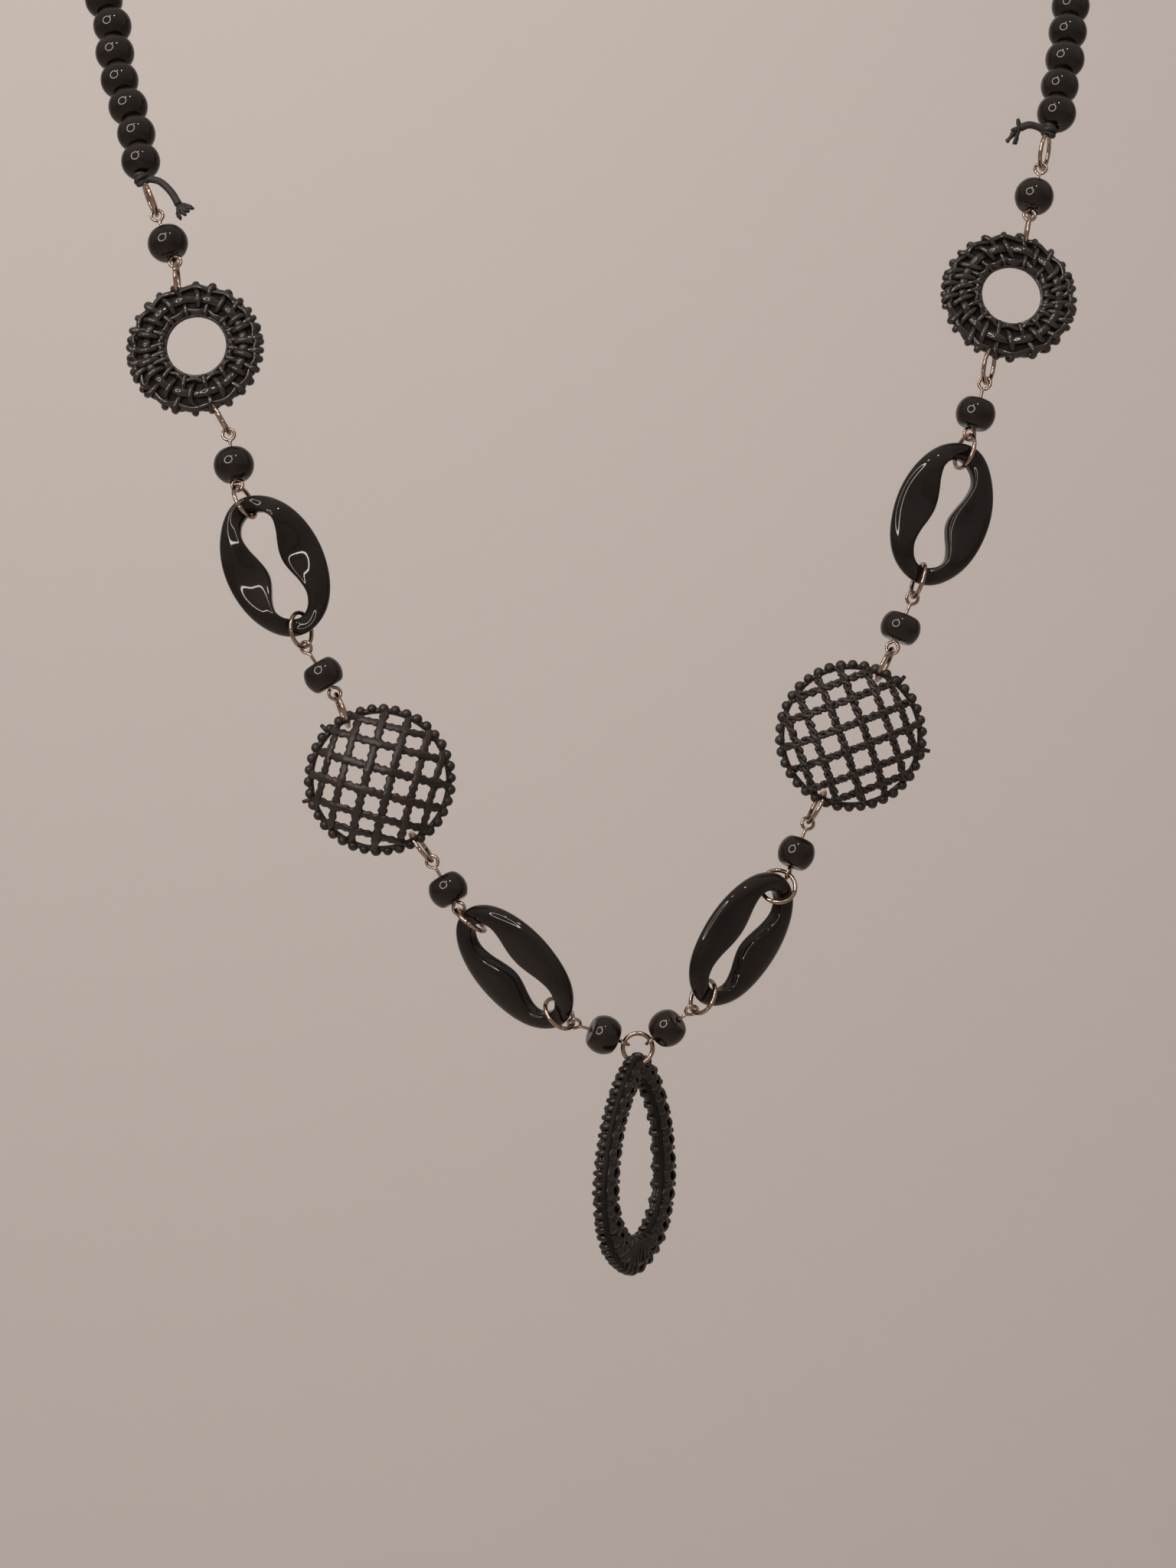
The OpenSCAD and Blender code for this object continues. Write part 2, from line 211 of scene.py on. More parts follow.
# ---------------------------------------------------------------- mesh building
class Shape:
    """Gathers vertices and faces in millimetres, then makes one object of them."""

    def __init__(self):
        self.v, self.f, self.n = [], [], 0

    def add(self, verts, faces, flip=False):
        verts = np.asarray(verts, float)
        self.v.append(verts)
        self.f += [tuple(i + self.n for i in (q[::-1] if flip else q)) for q in faces]
        self.n += len(verts)

    def make(self, name, material, body, *stands_for):
        mesh = bpy.data.meshes.new(name)
        mesh.from_pydata((np.concatenate(self.v) * MM).tolist(), [], self.f)
        mesh.validate()
        mesh.polygons.foreach_set("use_smooth", [True] * len(mesh.polygons))
        mesh.materials.append(material)
        o = bpy.data.objects.new(name, mesh)
        scene.collection.objects.link(o)
        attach(o, body)
        if stands_for:
            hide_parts(*stands_for)


def grid_faces(n, m, wrap_n, wrap_m):
    """The faces of n rows of m points, closed on themselves one way, the other or both."""
    out = []
    for i in range(n if wrap_n else n - 1):
        for j in range(m if wrap_m else m - 1):
            a, b = i, (i + 1) % n
            c, d = j, (j + 1) % m
            out.append((a * m + c, a * m + d, b * m + d, b * m + c))
    return out


def tube(shape, path, rx, ry=None, up=None, closed=False, sides=8, flip=False):
    """A cord along path: rx is its half width across up, ry its half height along up."""
    p = np.asarray(path, float)
    n = len(p)
    if closed:
        t = np.roll(p, -1, 0) - np.roll(p, 1, 0)
    else:
        t = np.gradient(p, axis=0)
    t /= np.linalg.norm(t, axis=1)[:, None] + 1e-12
    if up is None:
        ref = np.array([0.31, 0.83, 0.47])
        u = np.cross(t[0], ref)
        ups = [u / np.linalg.norm(u)]
        for i in range(1, n):
            u = ups[-1] - t[i] * np.dot(ups[-1], t[i])
            ups.append(u / np.linalg.norm(u))
        up = np.array(ups)
    else:
        up = np.broadcast_to(np.asarray(up, float), p.shape)
        up = up - t * np.sum(up * t, axis=1)[:, None]
        up = up / (np.linalg.norm(up, axis=1)[:, None] + 1e-12)
    across = np.cross(t, up)
    rx = np.broadcast_to(np.asarray(rx, float), (n,))
    ry = rx if ry is None else np.broadcast_to(np.asarray(ry, float), (n,))
    a = np.arange(sides)[None, :] * 2 * PI / sides
    v = (p[:, None, :] + (rx[:, None] * np.cos(a))[:, :, None] * across[:, None, :]
         + (ry[:, None] * np.sin(a))[:, :, None] * up[:, None, :]).reshape(-1, 3)
    f = grid_faces(n, sides, closed, True)
    if not closed:
        last = (n - 1) * sides
        f += [tuple(range(sides - 1, -1, -1)), tuple(range(last, last + sides))]
    shape.add(v, f, flip)


def turned(profile, sides):
    """The points of profile, a list of (radius, height), turned round z."""
    pr = np.asarray(profile, float)
    a = np.arange(sides) * 2 * PI / sides
    return np.stack([
        pr[None, :, 0] * np.cos(a)[:, None],
        pr[None, :, 0] * np.sin(a)[:, None],
        np.broadcast_to(pr[None, :, 1], (sides, len(pr))),
    ], axis=2).reshape(-1, 3)


def lathe(shape, profile, place_m, place_c, sides, flip, girth):
    """Turns a closed profile round the place's z."""
    v = turned(np.asarray(profile, float) * (girth, 1), sides)
    shape.add(v @ place_m.T + place_c, grid_faces(sides, len(profile), True, True), flip)


def frame_to(v):
    """A rotation that takes z to v."""
    z = unit(v)
    x = unit(np.cross([0, 1, 0.2], z))
    return np.stack([x, np.cross(z, x), z], axis=1)


def ball(shape, c, r, rings, sides):
    th = np.linspace(0.001, PI - 0.001, rings + 1)
    profile = [(r * math.sin(t), r * math.cos(t)) for t in th]
    shape.add(turned(profile, sides) + c, grid_faces(sides, len(profile), True, False))


# ---------------------------------------------------------------- materials
NOISE_LOW, NOISE_HIGH = 0.3, 0.75  # where the noise reaches its darkest and lightest


def principled(name, **values):
    mat = bpy.data.materials.new(name)
    mat.use_nodes = True
    b = mat.node_tree.nodes["Principled BSDF"]
    for key, value in values.items():
        b.inputs[key.replace("_", " ")].default_value = value
    return mat, mat.node_tree, b


def add_noise(tree, scale, detail):
    tex = tree.nodes.new("ShaderNodeTexNoise")
    tex.inputs["Scale"].default_value = scale
    tex.inputs["Detail"].default_value = detail
    coord = tree.nodes.new("ShaderNodeTexCoord")
    tree.links.new(coord.outputs["Object"], tex.inputs["Vector"])
    return tex.outputs["Fac"]


def vary(tree, bsdf, colour, dark, light, rough, scale, islands):
    """Lets colour and roughness drift a little over the surface and from strand to strand."""
    n, link = tree.nodes, tree.links.new
    value = add_noise(tree, scale, 4.0)
    if islands:
        geo = n.new("ShaderNodeNewGeometry")
        mix = n.new("ShaderNodeMath")
        mix.operation = "MULTIPLY_ADD"
        mix.inputs[1].default_value = islands
        link(geo.outputs["Random Per Island"], mix.inputs[0])
        link(value, mix.inputs[2])
        value = mix.outputs["Value"]
    ramp = n.new("ShaderNodeValToRGB")
    low, high = ramp.color_ramp.elements
    low.position, high.position = NOISE_LOW, NOISE_HIGH + islands
    low.color = tuple(c * dark for c in colour) + (1,)
    high.color = tuple(c * light for c in colour) + (1,)
    link(value, ramp.inputs["Fac"])
    link(ramp.outputs["Color"], bsdf.inputs["Base Color"])
    span = n.new("ShaderNodeMapRange")
    span.inputs["From Min"].default_value = NOISE_LOW
    span.inputs["From Max"].default_value = NOISE_HIGH + islands
    span.inputs["To Min"].default_value = rough[0]
    span.inputs["To Max"].default_value = rough[1]
    link(value, span.inputs["Value"])
    link(span.outputs["Result"], bsdf.inputs["Roughness"])


def surface(name, colour, shades, rough, scale, bump, islands=0.0, **values):
    """shades are the colour's darkest and lightest parts, bump its noise's scale, strength
    and depth in metres, and islands how much one strand differs from the next."""
    mat, tree, bsdf = principled(name, **values)
    vary(tree, bsdf, colour, *shades, rough, scale, islands)
    node = tree.nodes.new("ShaderNodeBump")
    node.inputs["Strength"].default_value = bump[1]
    node.inputs["Distance"].default_value = bump[2]
    tree.links.new(add_noise(tree, bump[0], 3.0), node.inputs["Height"])
    tree.links.new(node.outputs["Normal"], bsdf.inputs["Normal"])
    return mat


# what the black pieces reflect head on is a little warmer than the room
WARM = (1, 0.9, 0.84, 1)
bead_mat = surface(
    "glossy_bead", (0.0092, 0.0062, 0.0051), (0.7, 1.4), (0.055, 0.11), 260,
    (300, 0.05, 0.0002), IOR=1.43, Specular_Tint=WARM)
oval_mat = surface(
    "glossy_oval", (0.0084, 0.0058, 0.0049), (0.7, 1.5), (0.03, 0.065), 120,
    (90, 0.035, 0.0005), IOR=1.4, Specular_Tint=WARM)
wicker_mat = surface(
    "ring_wicker", (0.0155, 0.0116, 0.0102), (0.6, 1.7), (0.05, 0.14), 500,
    (900, 0.06, 0.00015), 0.4, IOR=1.6, Specular_Tint=WARM)
drop_mat = surface(
    "drop_wicker", (0.0115, 0.0084, 0.0073), (0.6, 1.7), (0.15, 0.28), 500,
    (900, 0.06, 0.00015), 0.4, IOR=1.5, Specular_Tint=WARM)
# the core the cords are woven round, coloured darker than the cords: painted shade for the gaps
# between them
painted_shade_core_mat = surface(
    "wicker_core_painted_shade", (0.0076, 0.0057, 0.005), (0.6, 1.5), (0.55, 0.75), 500,
    (900, 0.4, 0.0003), IOR=1.28, Specular_Tint=WARM)
lattice_mat = surface(
    "lattice", (0.0178, 0.0124, 0.0104), (0.55, 1.7), (0.28, 0.44), 350,
    (900, 0.22, 0.0003), 0.3, IOR=1.45, Specular_Tint=WARM)
cord_mat = surface(
    "cord", (0.019, 0.0145, 0.0125), (0.6, 1.5), (0.5, 0.7), 700,
    (1800, 0.3, 0.0002), 0.4, IOR=1.45)
gold_mat = surface(
    "gold_wire", (0.42, 0.298, 0.232), (0.82, 1.12), (0.13, 0.2), 250,
    (400, 0.02, 0.0001), Metallic=1.0)

# ---------------------------------------------------------------- beads
BEAD_R, BORE_R = 4.0, 0.55
STRAND_FLAT = 3.5    # how far out a strand bead's flat ends stand
DIMPLE_R = 1.75      # the hollow in a link bead's end that the pin's lower eye sits in
EDGE_ROUND = 0.42    # how far the rounding of the flat end's edge reaches down the ball
BEAD_TURN = 37       # each strand bead is turned this much further than the one before
THREAD_R = 0.5       # the cord in the strand
THREAD_PAST = 4.4    # how far it runs past the middles of a run's first and last bead


def bead_profile(flat, dimple_r=0.0):
    """Closed (radius, height) outline: ball with flat, slightly rounded ends and a hole."""
    flat_r = math.sqrt(BEAD_R ** 2 - flat ** 2)
    if dimple_r:
        a0 = math.asin(BORE_R / dimple_r)
        edge = math.sqrt(dimple_r ** 2 - (LOW - flat) ** 2)
        a1 = math.asin(edge / dimple_r)
        half = []
        for k in range(6):
            a = a0 + (a1 - a0) * k / 5
            half.append((dimple_r * math.sin(a), LOW - dimple_r * math.cos(a)))
    else:
        # the hole widens a little toward its mouth
        half = [(BORE_R, flat - 0.7), (BORE_R + 0.05, flat - 0.25), (BORE_R + 0.3, flat - 0.02)]
    # the flat end lies between the radii top and first
    top = half[-1][0] + 0.12
    first = max(flat_r - 0.6, top + 0.05)
    a_start = math.asin((flat_r + EDGE_ROUND) / BEAD_R)
    last = (BEAD_R * math.sin(a_start), BEAD_R * math.cos(a_start))
    half.append((top, flat))
    # the flat end's edge is rounded with a curve toward its corner
    for k in range(5):
        u = k / 5
        half.append(((1 - u) ** 2 * first + 2 * u * (1 - u) * flat_r + u * u * last[0],
                     (1 - u * u) * flat + u * u * last[1]))
    for k in range(11):
        a = a_start + (PI / 2 - a_start) * k / 10
        half.append((BEAD_R * math.sin(a), BEAD_R * math.cos(a)))
    return half + [(r, -z) for r, z in half[-2::-1]]


# how far out each link bead's flat ends stand, and its girth: no two are quite alike
LINK_BEADS = {
    "l5": (2.9, 1.0), "l4": (3.0, 1.0), "l3": (2.85, 1.0), "l2": (3.4, 1.04),
    "l1": (3.3, 1.05), "r5": (2.95, 0.95), "r4": (3.0, 0.94), "r3": (2.78, 1.03),
    "r2": (3.05, 1.02), "r1": (3.15, 1.02),
}
for side in "lr":
    for i in range(1, 6):
        s = Shape()
        p = places[f"{side}bead{i}"]
        flat, girth = LINK_BEADS[f"{side}{i}"]
        lathe(s, bead_profile(flat, DIMPLE_R), p.m, p.c, sides=56, flip=side == "r",
              girth=girth)
        s.make(f"bead_{side}{i}", bead_mat, "chain", f"link_bead_{side}{i}")

strand_outline = bead_profile(STRAND_FLAT)
for g in range(GROUPS):
    first_bead = g * PER_GROUP
    last_bead = first_bead + PER_GROUP - 1
    s = Shape()
    for i in range(first_bead, last_bead + 1):
        ahead = on_route(bead_at(i) + 0.6) - on_route(bead_at(i) - 0.6)
        lathe(s, strand_outline, frame_to(ahead) @ rot("Z", BEAD_TURN * i),
              on_route(bead_at(i)), sides=44, flip=True, girth=rng.uniform(1.0, 1.06))
    s.make(f"strand_beads_{g + 1}", bead_mat, "chain", f"bead_strand_{g + 1}")
    thread = Shape()
    a, z = bead_at(first_bead) - THREAD_PAST, bead_at(last_bead) + THREAD_PAST
    tube(thread, [on_route(a + (z - a) * k / 60) for k in range(61)], THREAD_R)
    thread.make(f"strand_cord_{g + 1}", cord_mat, "chain")

# ---------------------------------------------------------------- wire
RING_GAP = 0.7       # the cut between a jump ring's ends, in degrees
EYE_GAP = 12         # how far from the stem's line an eye's end stops, in degrees
EYE_START = 22       # and where the stem bends into it


def ring_path(r, n, start=0.0, sweep=360.0):
    a = np.radians(start + np.arange(n) * sweep / (n if sweep == 360.0 else n - 1))
    return np.stack([r * np.sin(a), 0 * a, r * np.cos(a)], axis=1)


for side in "lr":
    for i in range(9):
        p = places[f"{side}ring{i}"]
        s = Shape()
        # bent from wire and closed: the two ends meet at a fine cut on the ring's side
        cut = rng.uniform(60, 120) * rng.choice((-1, 1))
        path = ring_path(RING_R, 76, cut + RING_GAP / 2, 360 - RING_GAP)
        tube(s, p.out(path), RING_W, sides=16)
        s.make(f"ring_{side}{i}", gold_mat, "chain", f"jump_ring_{side}{i}")
s = Shape()
tube(s, ring_path(CENTRE_R, 80) + CENTRE, CENTRE_W, closed=True, sides=18)
s.make("hanging_ring_wire", gold_mat, "hanging_ring", "centre_ring")


def eye(turn, height, first, last):
    """An eye's wire: across the ring on it, which is at turn round the bead's length."""
    across = rot("Z", turn + 90)[:, 0]
    return [across * EYE_R * math.sin(a) + [0, 0, height + EYE_R * math.cos(a)]
            for a in np.radians(np.linspace(first, last, 40))]


for side in "lr":
    rows = CHAINS[side][1]
    for i in range(1, 6):
        k = [r[:2] for r in rows].index(("bead", i))
        # the lower eye from its closed end round to the stem, the stem, and the upper eye
        pts = eye(rows[k - 1][4] if k else 0, -LOW, 360 - EYE_GAP, EYE_START)
        pts += [np.array([0, 0, z])
                for z in np.linspace(-LOW + EYE_R + 0.5, HIGH - EYE_R - 0.5, 12)]
        pts += eye(rows[k + 1][4], HIGH, 180 - EYE_START, EYE_GAP - 180)
        s = Shape()
        tube(s, places[f"{side}bead{i}"].out(pts), PIN_W, sides=12)
        s.make(f"pin_{side}{i}", gold_mat, "chain", f"eye_pin_{side}{i}")

# ---------------------------------------------------------------- oval links
# a quarter of the opening's edge: the angle on the outer edge that it belongs to, x and z
OVAL_HOLE = [
    (0, 0, 11.7), (15, 1.6, 11.2), (30, 2.9, 10.1), (45, 3.65, 8.2),
    (58, 3.3, 5.7), (69, 2.5, 3.4), (80, 1.95, 1.5), (90, 1.8, 0),
]
OVAL_HALF = (10.25, 15.25)
OVAL_THICK = 2.0     # half the thickness, at the sides
WAVE_FROM = 78       # where along the edge, in degrees, the faces' wave is at its crest
# how strongly each oval's faces wave
OVAL_WAVES = {"l1": 1.0, "r1": 0.7, "l2": 0.22, "r2": 0.22}


def oval_inner(a):
    """A point of the opening for an angle in degrees on the outer edge."""
    q = a % 360
    fold = q if q <= 90 else 180 - q if q <= 180 else q - 180 if q <= 270 else 360 - q
    idx = np.interp(fold, [h[0] for h in OVAL_HOLE], range(len(OVAL_HOLE)))
    table = [(-h[0], -h[1], h[2]) for h in OVAL_HOLE[:0:-1]] + OVAL_HOLE \
        + [(180 - h[0], h[1], -h[2]) for h in OVAL_HOLE[-2::-1]]
    c = catmull(table, idx + len(OVAL_HOLE) - 1)
    sx = 1 if q <= 180 else -1
    sz = 1 if (q <= 90 or q >= 270) else -1
    ra = math.radians(a)
    return np.array([sx * c[1], 0, sz * c[2] - 0.9 * math.sin(ra) * abs(math.sin(ra))])


def oval_ring(a, wave, sides):
    """The oval's section at this angle in degrees on its outer edge."""
    ra = math.radians(a)
    outer = np.array([OVAL_HALF[0] * math.sin(ra), 0, OVAL_HALF[1] * math.cos(ra)])
    inner = oval_inner(a)
    mid, half = (outer + inner) / 2, (outer - inner) / 2
    dent = 4 * (ra - math.radians(WAVE_FROM))
    rise = 0.6 * math.sin(2 * ra) + 0.42 * math.cos(dent)
    # the opening's edge waves while the outer edge stays nearly in one plane
    at_inner = rise + math.sin(dent)
    at_outer = (rise - math.sin(dent)) * math.cos(ra) ** 2
    rise, lean = wave * (at_inner + at_outer) / 2, wave * (at_inner - at_outer) / 2
    thick = OVAL_THICK * (1 - 0.24 * math.cos(ra) ** 4)
    ring = []
    for j in range(sides):
        b = 2 * PI * j / sides
        # crowned toward the outer edge, and a tighter bevel round the opening
        power = 0.92 if math.cos(b) > 0 else 0.5
        cu = math.copysign(abs(math.cos(b)) ** power, math.cos(b))
        su = math.copysign(abs(math.sin(b)) ** power, math.sin(b))
        ring.append(mid + half * cu + np.array([0, rise + thick * su - lean * cu, 0]))
    return ring


for side in "lr":
    for i in (1, 2):
        n, m = 144, 48
        rows = []
        for k in range(n):
            rows += oval_ring(360 * k / n, OVAL_WAVES[f"{side}{i}"], m)
        s = Shape()
        s.add(places[f"{side}oval{i}"].out(rows), grid_faces(n, m, True, True), side == "r")
        s.make(f"oval_{side}{i}", oval_mat, "chain", f"oval_link_{side}{i}")

# ---------------------------------------------------------------- basket weave
def superellipse(deg, power):
    """Where a ray at this angle meets a rounded square of half size one."""
    c, q = math.cos(math.radians(deg)), math.sin(math.radians(deg))
    r = (abs(c) ** power + abs(q) ** power) ** (-1 / power)
    return r * c, r * q


def ease(angle, knots):
    """Eased value between (angle, value) knots round a full turn."""
    angle %= 360
    for (a0, v0), (a1, v1) in zip(knots, knots[1:] + [(knots[0][0] + 360, knots[0][1])]):
        if a0 <= angle <= a1:
            u = (angle - a0) / (a1 - a0)
            return v0 + (v1 - v0) * (1 - math.cos(PI * u)) / 2
    return knots[0][1]


# lifts from a band's face: of its core, of a point inside a cord, of a hidden stake, and how
# much lower a row lies where the stakes float over it
CORE, INSIDE, SUNK, UNDER_FLOAT = -0.45, -0.5, -0.55, 0.35
FLOAT_R = 0.47
STAKE_STEPS = 56


class Band:
    """A closed band woven from stakes that go round its section and weavers along it.

    at(s, across, out) gives the point at s of the way round, across the band's width and
    out of its face in millimetres; half(s) and thick(s) are half the core's width and depth.
    Each row of rows is a weaver: its angle round the section, 0 at the outer edge and 180 at
    the inner, its lift, or None where it goes over and under, and its half width and height.
    A lift may also be a function of s. The stakes go over a sunk row and under a raised one.
    Every second stake is hidden where hidden(s, angle) says so, and where floats(s) is one,
    the stakes lie over all the rows. power is the section's superellipse, stakes the s of
    each stake, slant how many stakes' widths they run aslant, and out the piece's place."""

    def __init__(self, at, half, thick, power, stakes, rows, slant, out, mirror,
                 hidden=lambda s, deg: False, floats=lambda s: 0.0):
        self.at, self.half, self.thick, self.power = at, half, thick, power
        self.slant, self.out, self.mirror = slant, out, mirror
        self.hidden, self.floats = hidden, floats
        self.rows = sorted(rows, key=lambda r: r[0])
        self.s = stakes
        self.n = len(stakes)

    def point(self, s, deg, lift):
        c, q = superellipse(deg, self.power)
        return self.at(s, c * (self.half(s) + lift), q * (self.thick(s) + lift))

    def shift(self, deg):
        return self.slant * math.cos(math.radians(deg)) / self.n

    def phase(self, s):
        """How many stakes lie before s."""
        ext = [self.s[-1] - 1] + list(self.s) + [self.s[0] + 1, self.s[1] + 1]
        return np.interp(s % 1, ext, range(-1, self.n + 2))

    def tube(self, shape, pts, mids, rx, ry, sides):
        pts, mids = self.out(pts), self.out(mids)
        tube(shape, pts, rx, ry, pts - mids, closed=True, sides=sides, flip=self.mirror)

    def cord(self, shape, deg, lift, rx, ry, steps):
        """A cord along the band; deg and lift are functions of how far round it is."""
        way = [q / steps for q in range(steps)]
        pts = [self.point(s, deg(s), lift(s)) for s in way]
        mids = [self.point(s, deg(s), INSIDE) for s in way]
        swell = np.array([1 + 0.05 * math.sin(self.phase(s) * 2.3 + rx * 9) for s in way])
        self.tube(shape, pts, mids, rx * swell, ry * swell, 10)

    def weavers(self, shape, amp, smooth=None):
        """The cords along the band; the smooth edge cords may go to a shape of their own."""
        j = 0
        for deg, lift, rx, ry in self.rows:
            if lift is None:
                def swing(s, j=j, deg=deg):
                    free = self.floats(s)
                    wave = math.cos(PI * (self.phase(s - self.shift(deg)) + j))
                    return amp * wave * (1 - free) - UNDER_FLOAT * free
                j += 1
            else:
                def swing(s, lift=lift):
                    own = lift(s) if callable(lift) else lift
                    return own - UNDER_FLOAT * self.floats(s)
            target = smooth if callable(lift) else shape
            self.cord(target, lambda s: deg, swing, rx, ry, self.n * 8)

    def stakes(self, shape, radii, over, under, edge_lift, inner_lift, wander):
        """radii are a stake's at the outer edge, on the faces and at the inner edge; the
        others are its lifts where it passes over and under a row and at both edges."""
        edge_r, face_r, inner_r = radii
        for k in range(self.n):
            here = self.s[k]
            free = self.floats(here)
            knots = []
            j = 0
            for deg, lift, _, _ in self.rows:
                if lift is None:
                    up = over if (k + j) % 2 else under
                    j += 1
                else:
                    up = under if (lift(here) if callable(lift) else lift) > 0 else edge_lift
                if deg == 180:
                    up = inner_lift
                out_of_sight = k % 2 and self.hidden(here, deg)
                knots.append((deg, SUNK if out_of_sight else up + (over - up) * free))
            wob = [rng.uniform(-wander, wander) / self.n for _ in range(5)]
            scale = rng.uniform(0.92, 1.1)
            pts, mids, rad = [], [], []
            for q in range(STAKE_STEPS):
                deg = 360 * q / STAKE_STEPS
                a = math.radians(deg)
                s = here + self.shift(deg) + wob[0] * math.sin(a) + wob[1] * math.cos(2 * a) \
                    + wob[2] * math.sin(2 * a + 1) + wob[3] * math.sin(3 * a)
                pts.append(self.point(s, deg, ease(deg, knots)))
                mids.append(self.point(s, deg, INSIDE))
                e = (1 + math.cos(a)) / 2
                r = inner_r + (face_r - inner_r) * min(1, 2 * e) \
                    + (edge_r - face_r) * max(0, 2 * e - 1) ** 2
                # side by side, the stakes are thicker on the face than where they weave
                rad.append((r + max(0.0, FLOAT_R - r) * free) * scale)
            self.tube(shape, pts, mids, rad, np.array(rad) * 0.9, 8)

    def core(self, shape):
        """What the cords are woven round, so that no light comes through."""
        n, m = 160, 20
        v = [self.point(q / n, 360 * j / m, CORE) for q in range(n) for j in range(m)]
        shape.add(self.out(v), grid_faces(n, m, True, True), flip=not self.mirror)


def spread_stakes(count, stray, wave=0.0):
    """Where the stakes stand: nearly even, crowded in two places where there is a wave."""
    way = [k / count + wave * math.sin(4 * PI * (k + 0.5) / count)
           + rng.uniform(-stray, stray) / count for k in range(count)]
    return [v - way[0] for v in way]


WOVEN_MID, WOVEN_HALF, WOVEN_THICK = 9.95, 3.1, 0.95
WOVEN_STAKES = 32
WOVEN_SLANT = {"l": 0.1, "r": -0.5}
WOVEN_ROWS = [(0, -0.5, 0.3, 0.3), (30, None, 0.84, 0.5), (88, None, 0.9, 0.52),
              (146, None, 0.78, 0.48), (180, 0.42, 0.36, 0.34)]
WOVEN_ROWS += [(360 - r[0],) + r[1:] for r in WOVEN_ROWS[1:4]]
for side in "lr":
    hole_x = -0.75 if side == "l" else 0.75

    def ring_at(s, across, out):
        # the opening sits a little off the middle, to the viewer's right and up
        r = WOVEN_MID + across
        a = 2 * PI * s
        off = 0.6 * min(1.0, max(0.0, 0.5 - across / 6.4))
        return np.array([r * math.sin(a) + off * hole_x, out, r * math.cos(a) + off * 0.75])

    band = Band(ring_at, lambda s: WOVEN_HALF, lambda s: WOVEN_THICK, power=2.3,
                stakes=spread_stakes(WOVEN_STAKES, stray=0.16, wave=0.034), rows=WOVEN_ROWS,
                slant=WOVEN_SLANT[side], out=places[f"{side}woven0"].out, mirror=side == "l")
    s = Shape()
    band.weavers(s, amp=0.3)
    band.stakes(s, radii=(0.7, 0.58, 0.44), over=0.56, under=-0.5, edge_lift=0.64,
                inner_lift=-0.1, wander=0.14)
    # one more turn of cord round the opening, which comes to the front in places
    band.cord(s, deg=lambda v: 170 + 9 * math.sin(12 * v + 1), lift=lambda v: 0.5,
              rx=0.28, ry=0.28, steps=160)
    s.make(f"woven_{side}", wicker_mat, "chain", f"woven_ring_{side}")
    # the core behind the cords takes the darker core material: painted shade in the gaps between
    # them
    c = Shape()
    band.core(c)
    c.make(f"woven_core_{side}", painted_shade_core_mat, "chain")

# half of the drop's band from its tip down: x and depth of the outer edge, then of the inner
DROP_ROWS = [
    (0, 0, 0, 5.6), (3.6, 1.1, 1.6, 6.0), (8.4, 5.3, 4.0, 8.2), (11.4, 9.5, 6.4, 11.4),
    (13.7, 13.9, 8.3, 14.8), (15.4, 19.0, 9.6, 19.2), (16.5, 24.9, 10.3, 24.6),
    (16.1, 30.3, 9.9, 29.4), (14.6, 35.3, 8.3, 32.9), (12.0, 39.4, 6.3, 35.1),
    (8.0, 42.8, 4.1, 36.4), (3.9, 44.9, 2.0, 37.0), (0, 45.5, 0, 37.1),
]
DROP_TURN = 63
DROP_STAKES = 62
DROP_TIP = 1.3                # the wall over the hole that the centre ring runs through
DROP_THICK, TIP_THIN = 1.4, 0.5
CORE_IN, CORE_ASIDE = 0.7, 0.17  # from the band's edges to the core, and toward the opening
EDGE_STEPS = 480
PAIR_STEPS = 2 * EDGE_STEPS
drop_m = rot("Z", DROP_TURN)
drop_c = CENTRE - np.array([0, 0, CENTRE_R])
drop_top = CENTRE_W + GAP + DROP_TIP


def drop_section(s):
    """The outer and the inner point of the band, for s of the way through its rows."""
    n = len(DROP_ROWS) - 1
    t = (s % 1) * 2 * n
    right = t <= n
    row = catmull(DROP_ROWS, t if right else 2 * n - t)
    fx = 1 if right else -1
    return (np.array([fx * row[0], 0, drop_top - row[1]]),
            np.array([fx * row[2], 0, drop_top - row[3]]))


# even steps along the outer edge of the drop's band
edge = [drop_section(q / EDGE_STEPS)[0] for q in range(EDGE_STEPS + 1)]
steps = [np.linalg.norm(b - a) for a, b in zip(edge, edge[1:])]
edge_run = np.concatenate([[0], np.cumsum(steps)])
edge_run /= edge_run[-1]
edge_way = np.arange(EDGE_STEPS + 1) / EDGE_STEPS
drop_pairs = [drop_section(np.interp(q / PAIR_STEPS, edge_run, edge_way))
              for q in range(PAIR_STEPS + 1)]


def drop_pair(s):
    """The outer and the inner point at s of the way round."""
    q = (s % 1) * PAIR_STEPS
    i = int(q)
    f = q - i
    a, b = drop_pairs[i], drop_pairs[min(i + 1, PAIR_STEPS)]
    return a[0] * (1 - f) + b[0] * f, a[1] * (1 - f) + b[1] * f


def drop_half(s):
    outer, inner = drop_pair(s)
    return np.linalg.norm(outer - inner) / 2 - CORE_IN


def drop_thick(s):
    # thinner at the tip, which sits inside the ring
    return DROP_THICK - TIP_THIN * math.exp(-(((s + 0.5) % 1 - 0.5) / 0.035) ** 2)


def drop_at(s, across, out):
    outer, inner = drop_pair(s)
    mid = (outer + inner) / 2
    d = (outer - inner) / np.linalg.norm(outer - inner)
    return mid + d * (across - CORE_ASIDE) + np.array([0, out, 0])


def drop_out(v):
    return np.asarray(v, float) @ drop_m.T + drop_c
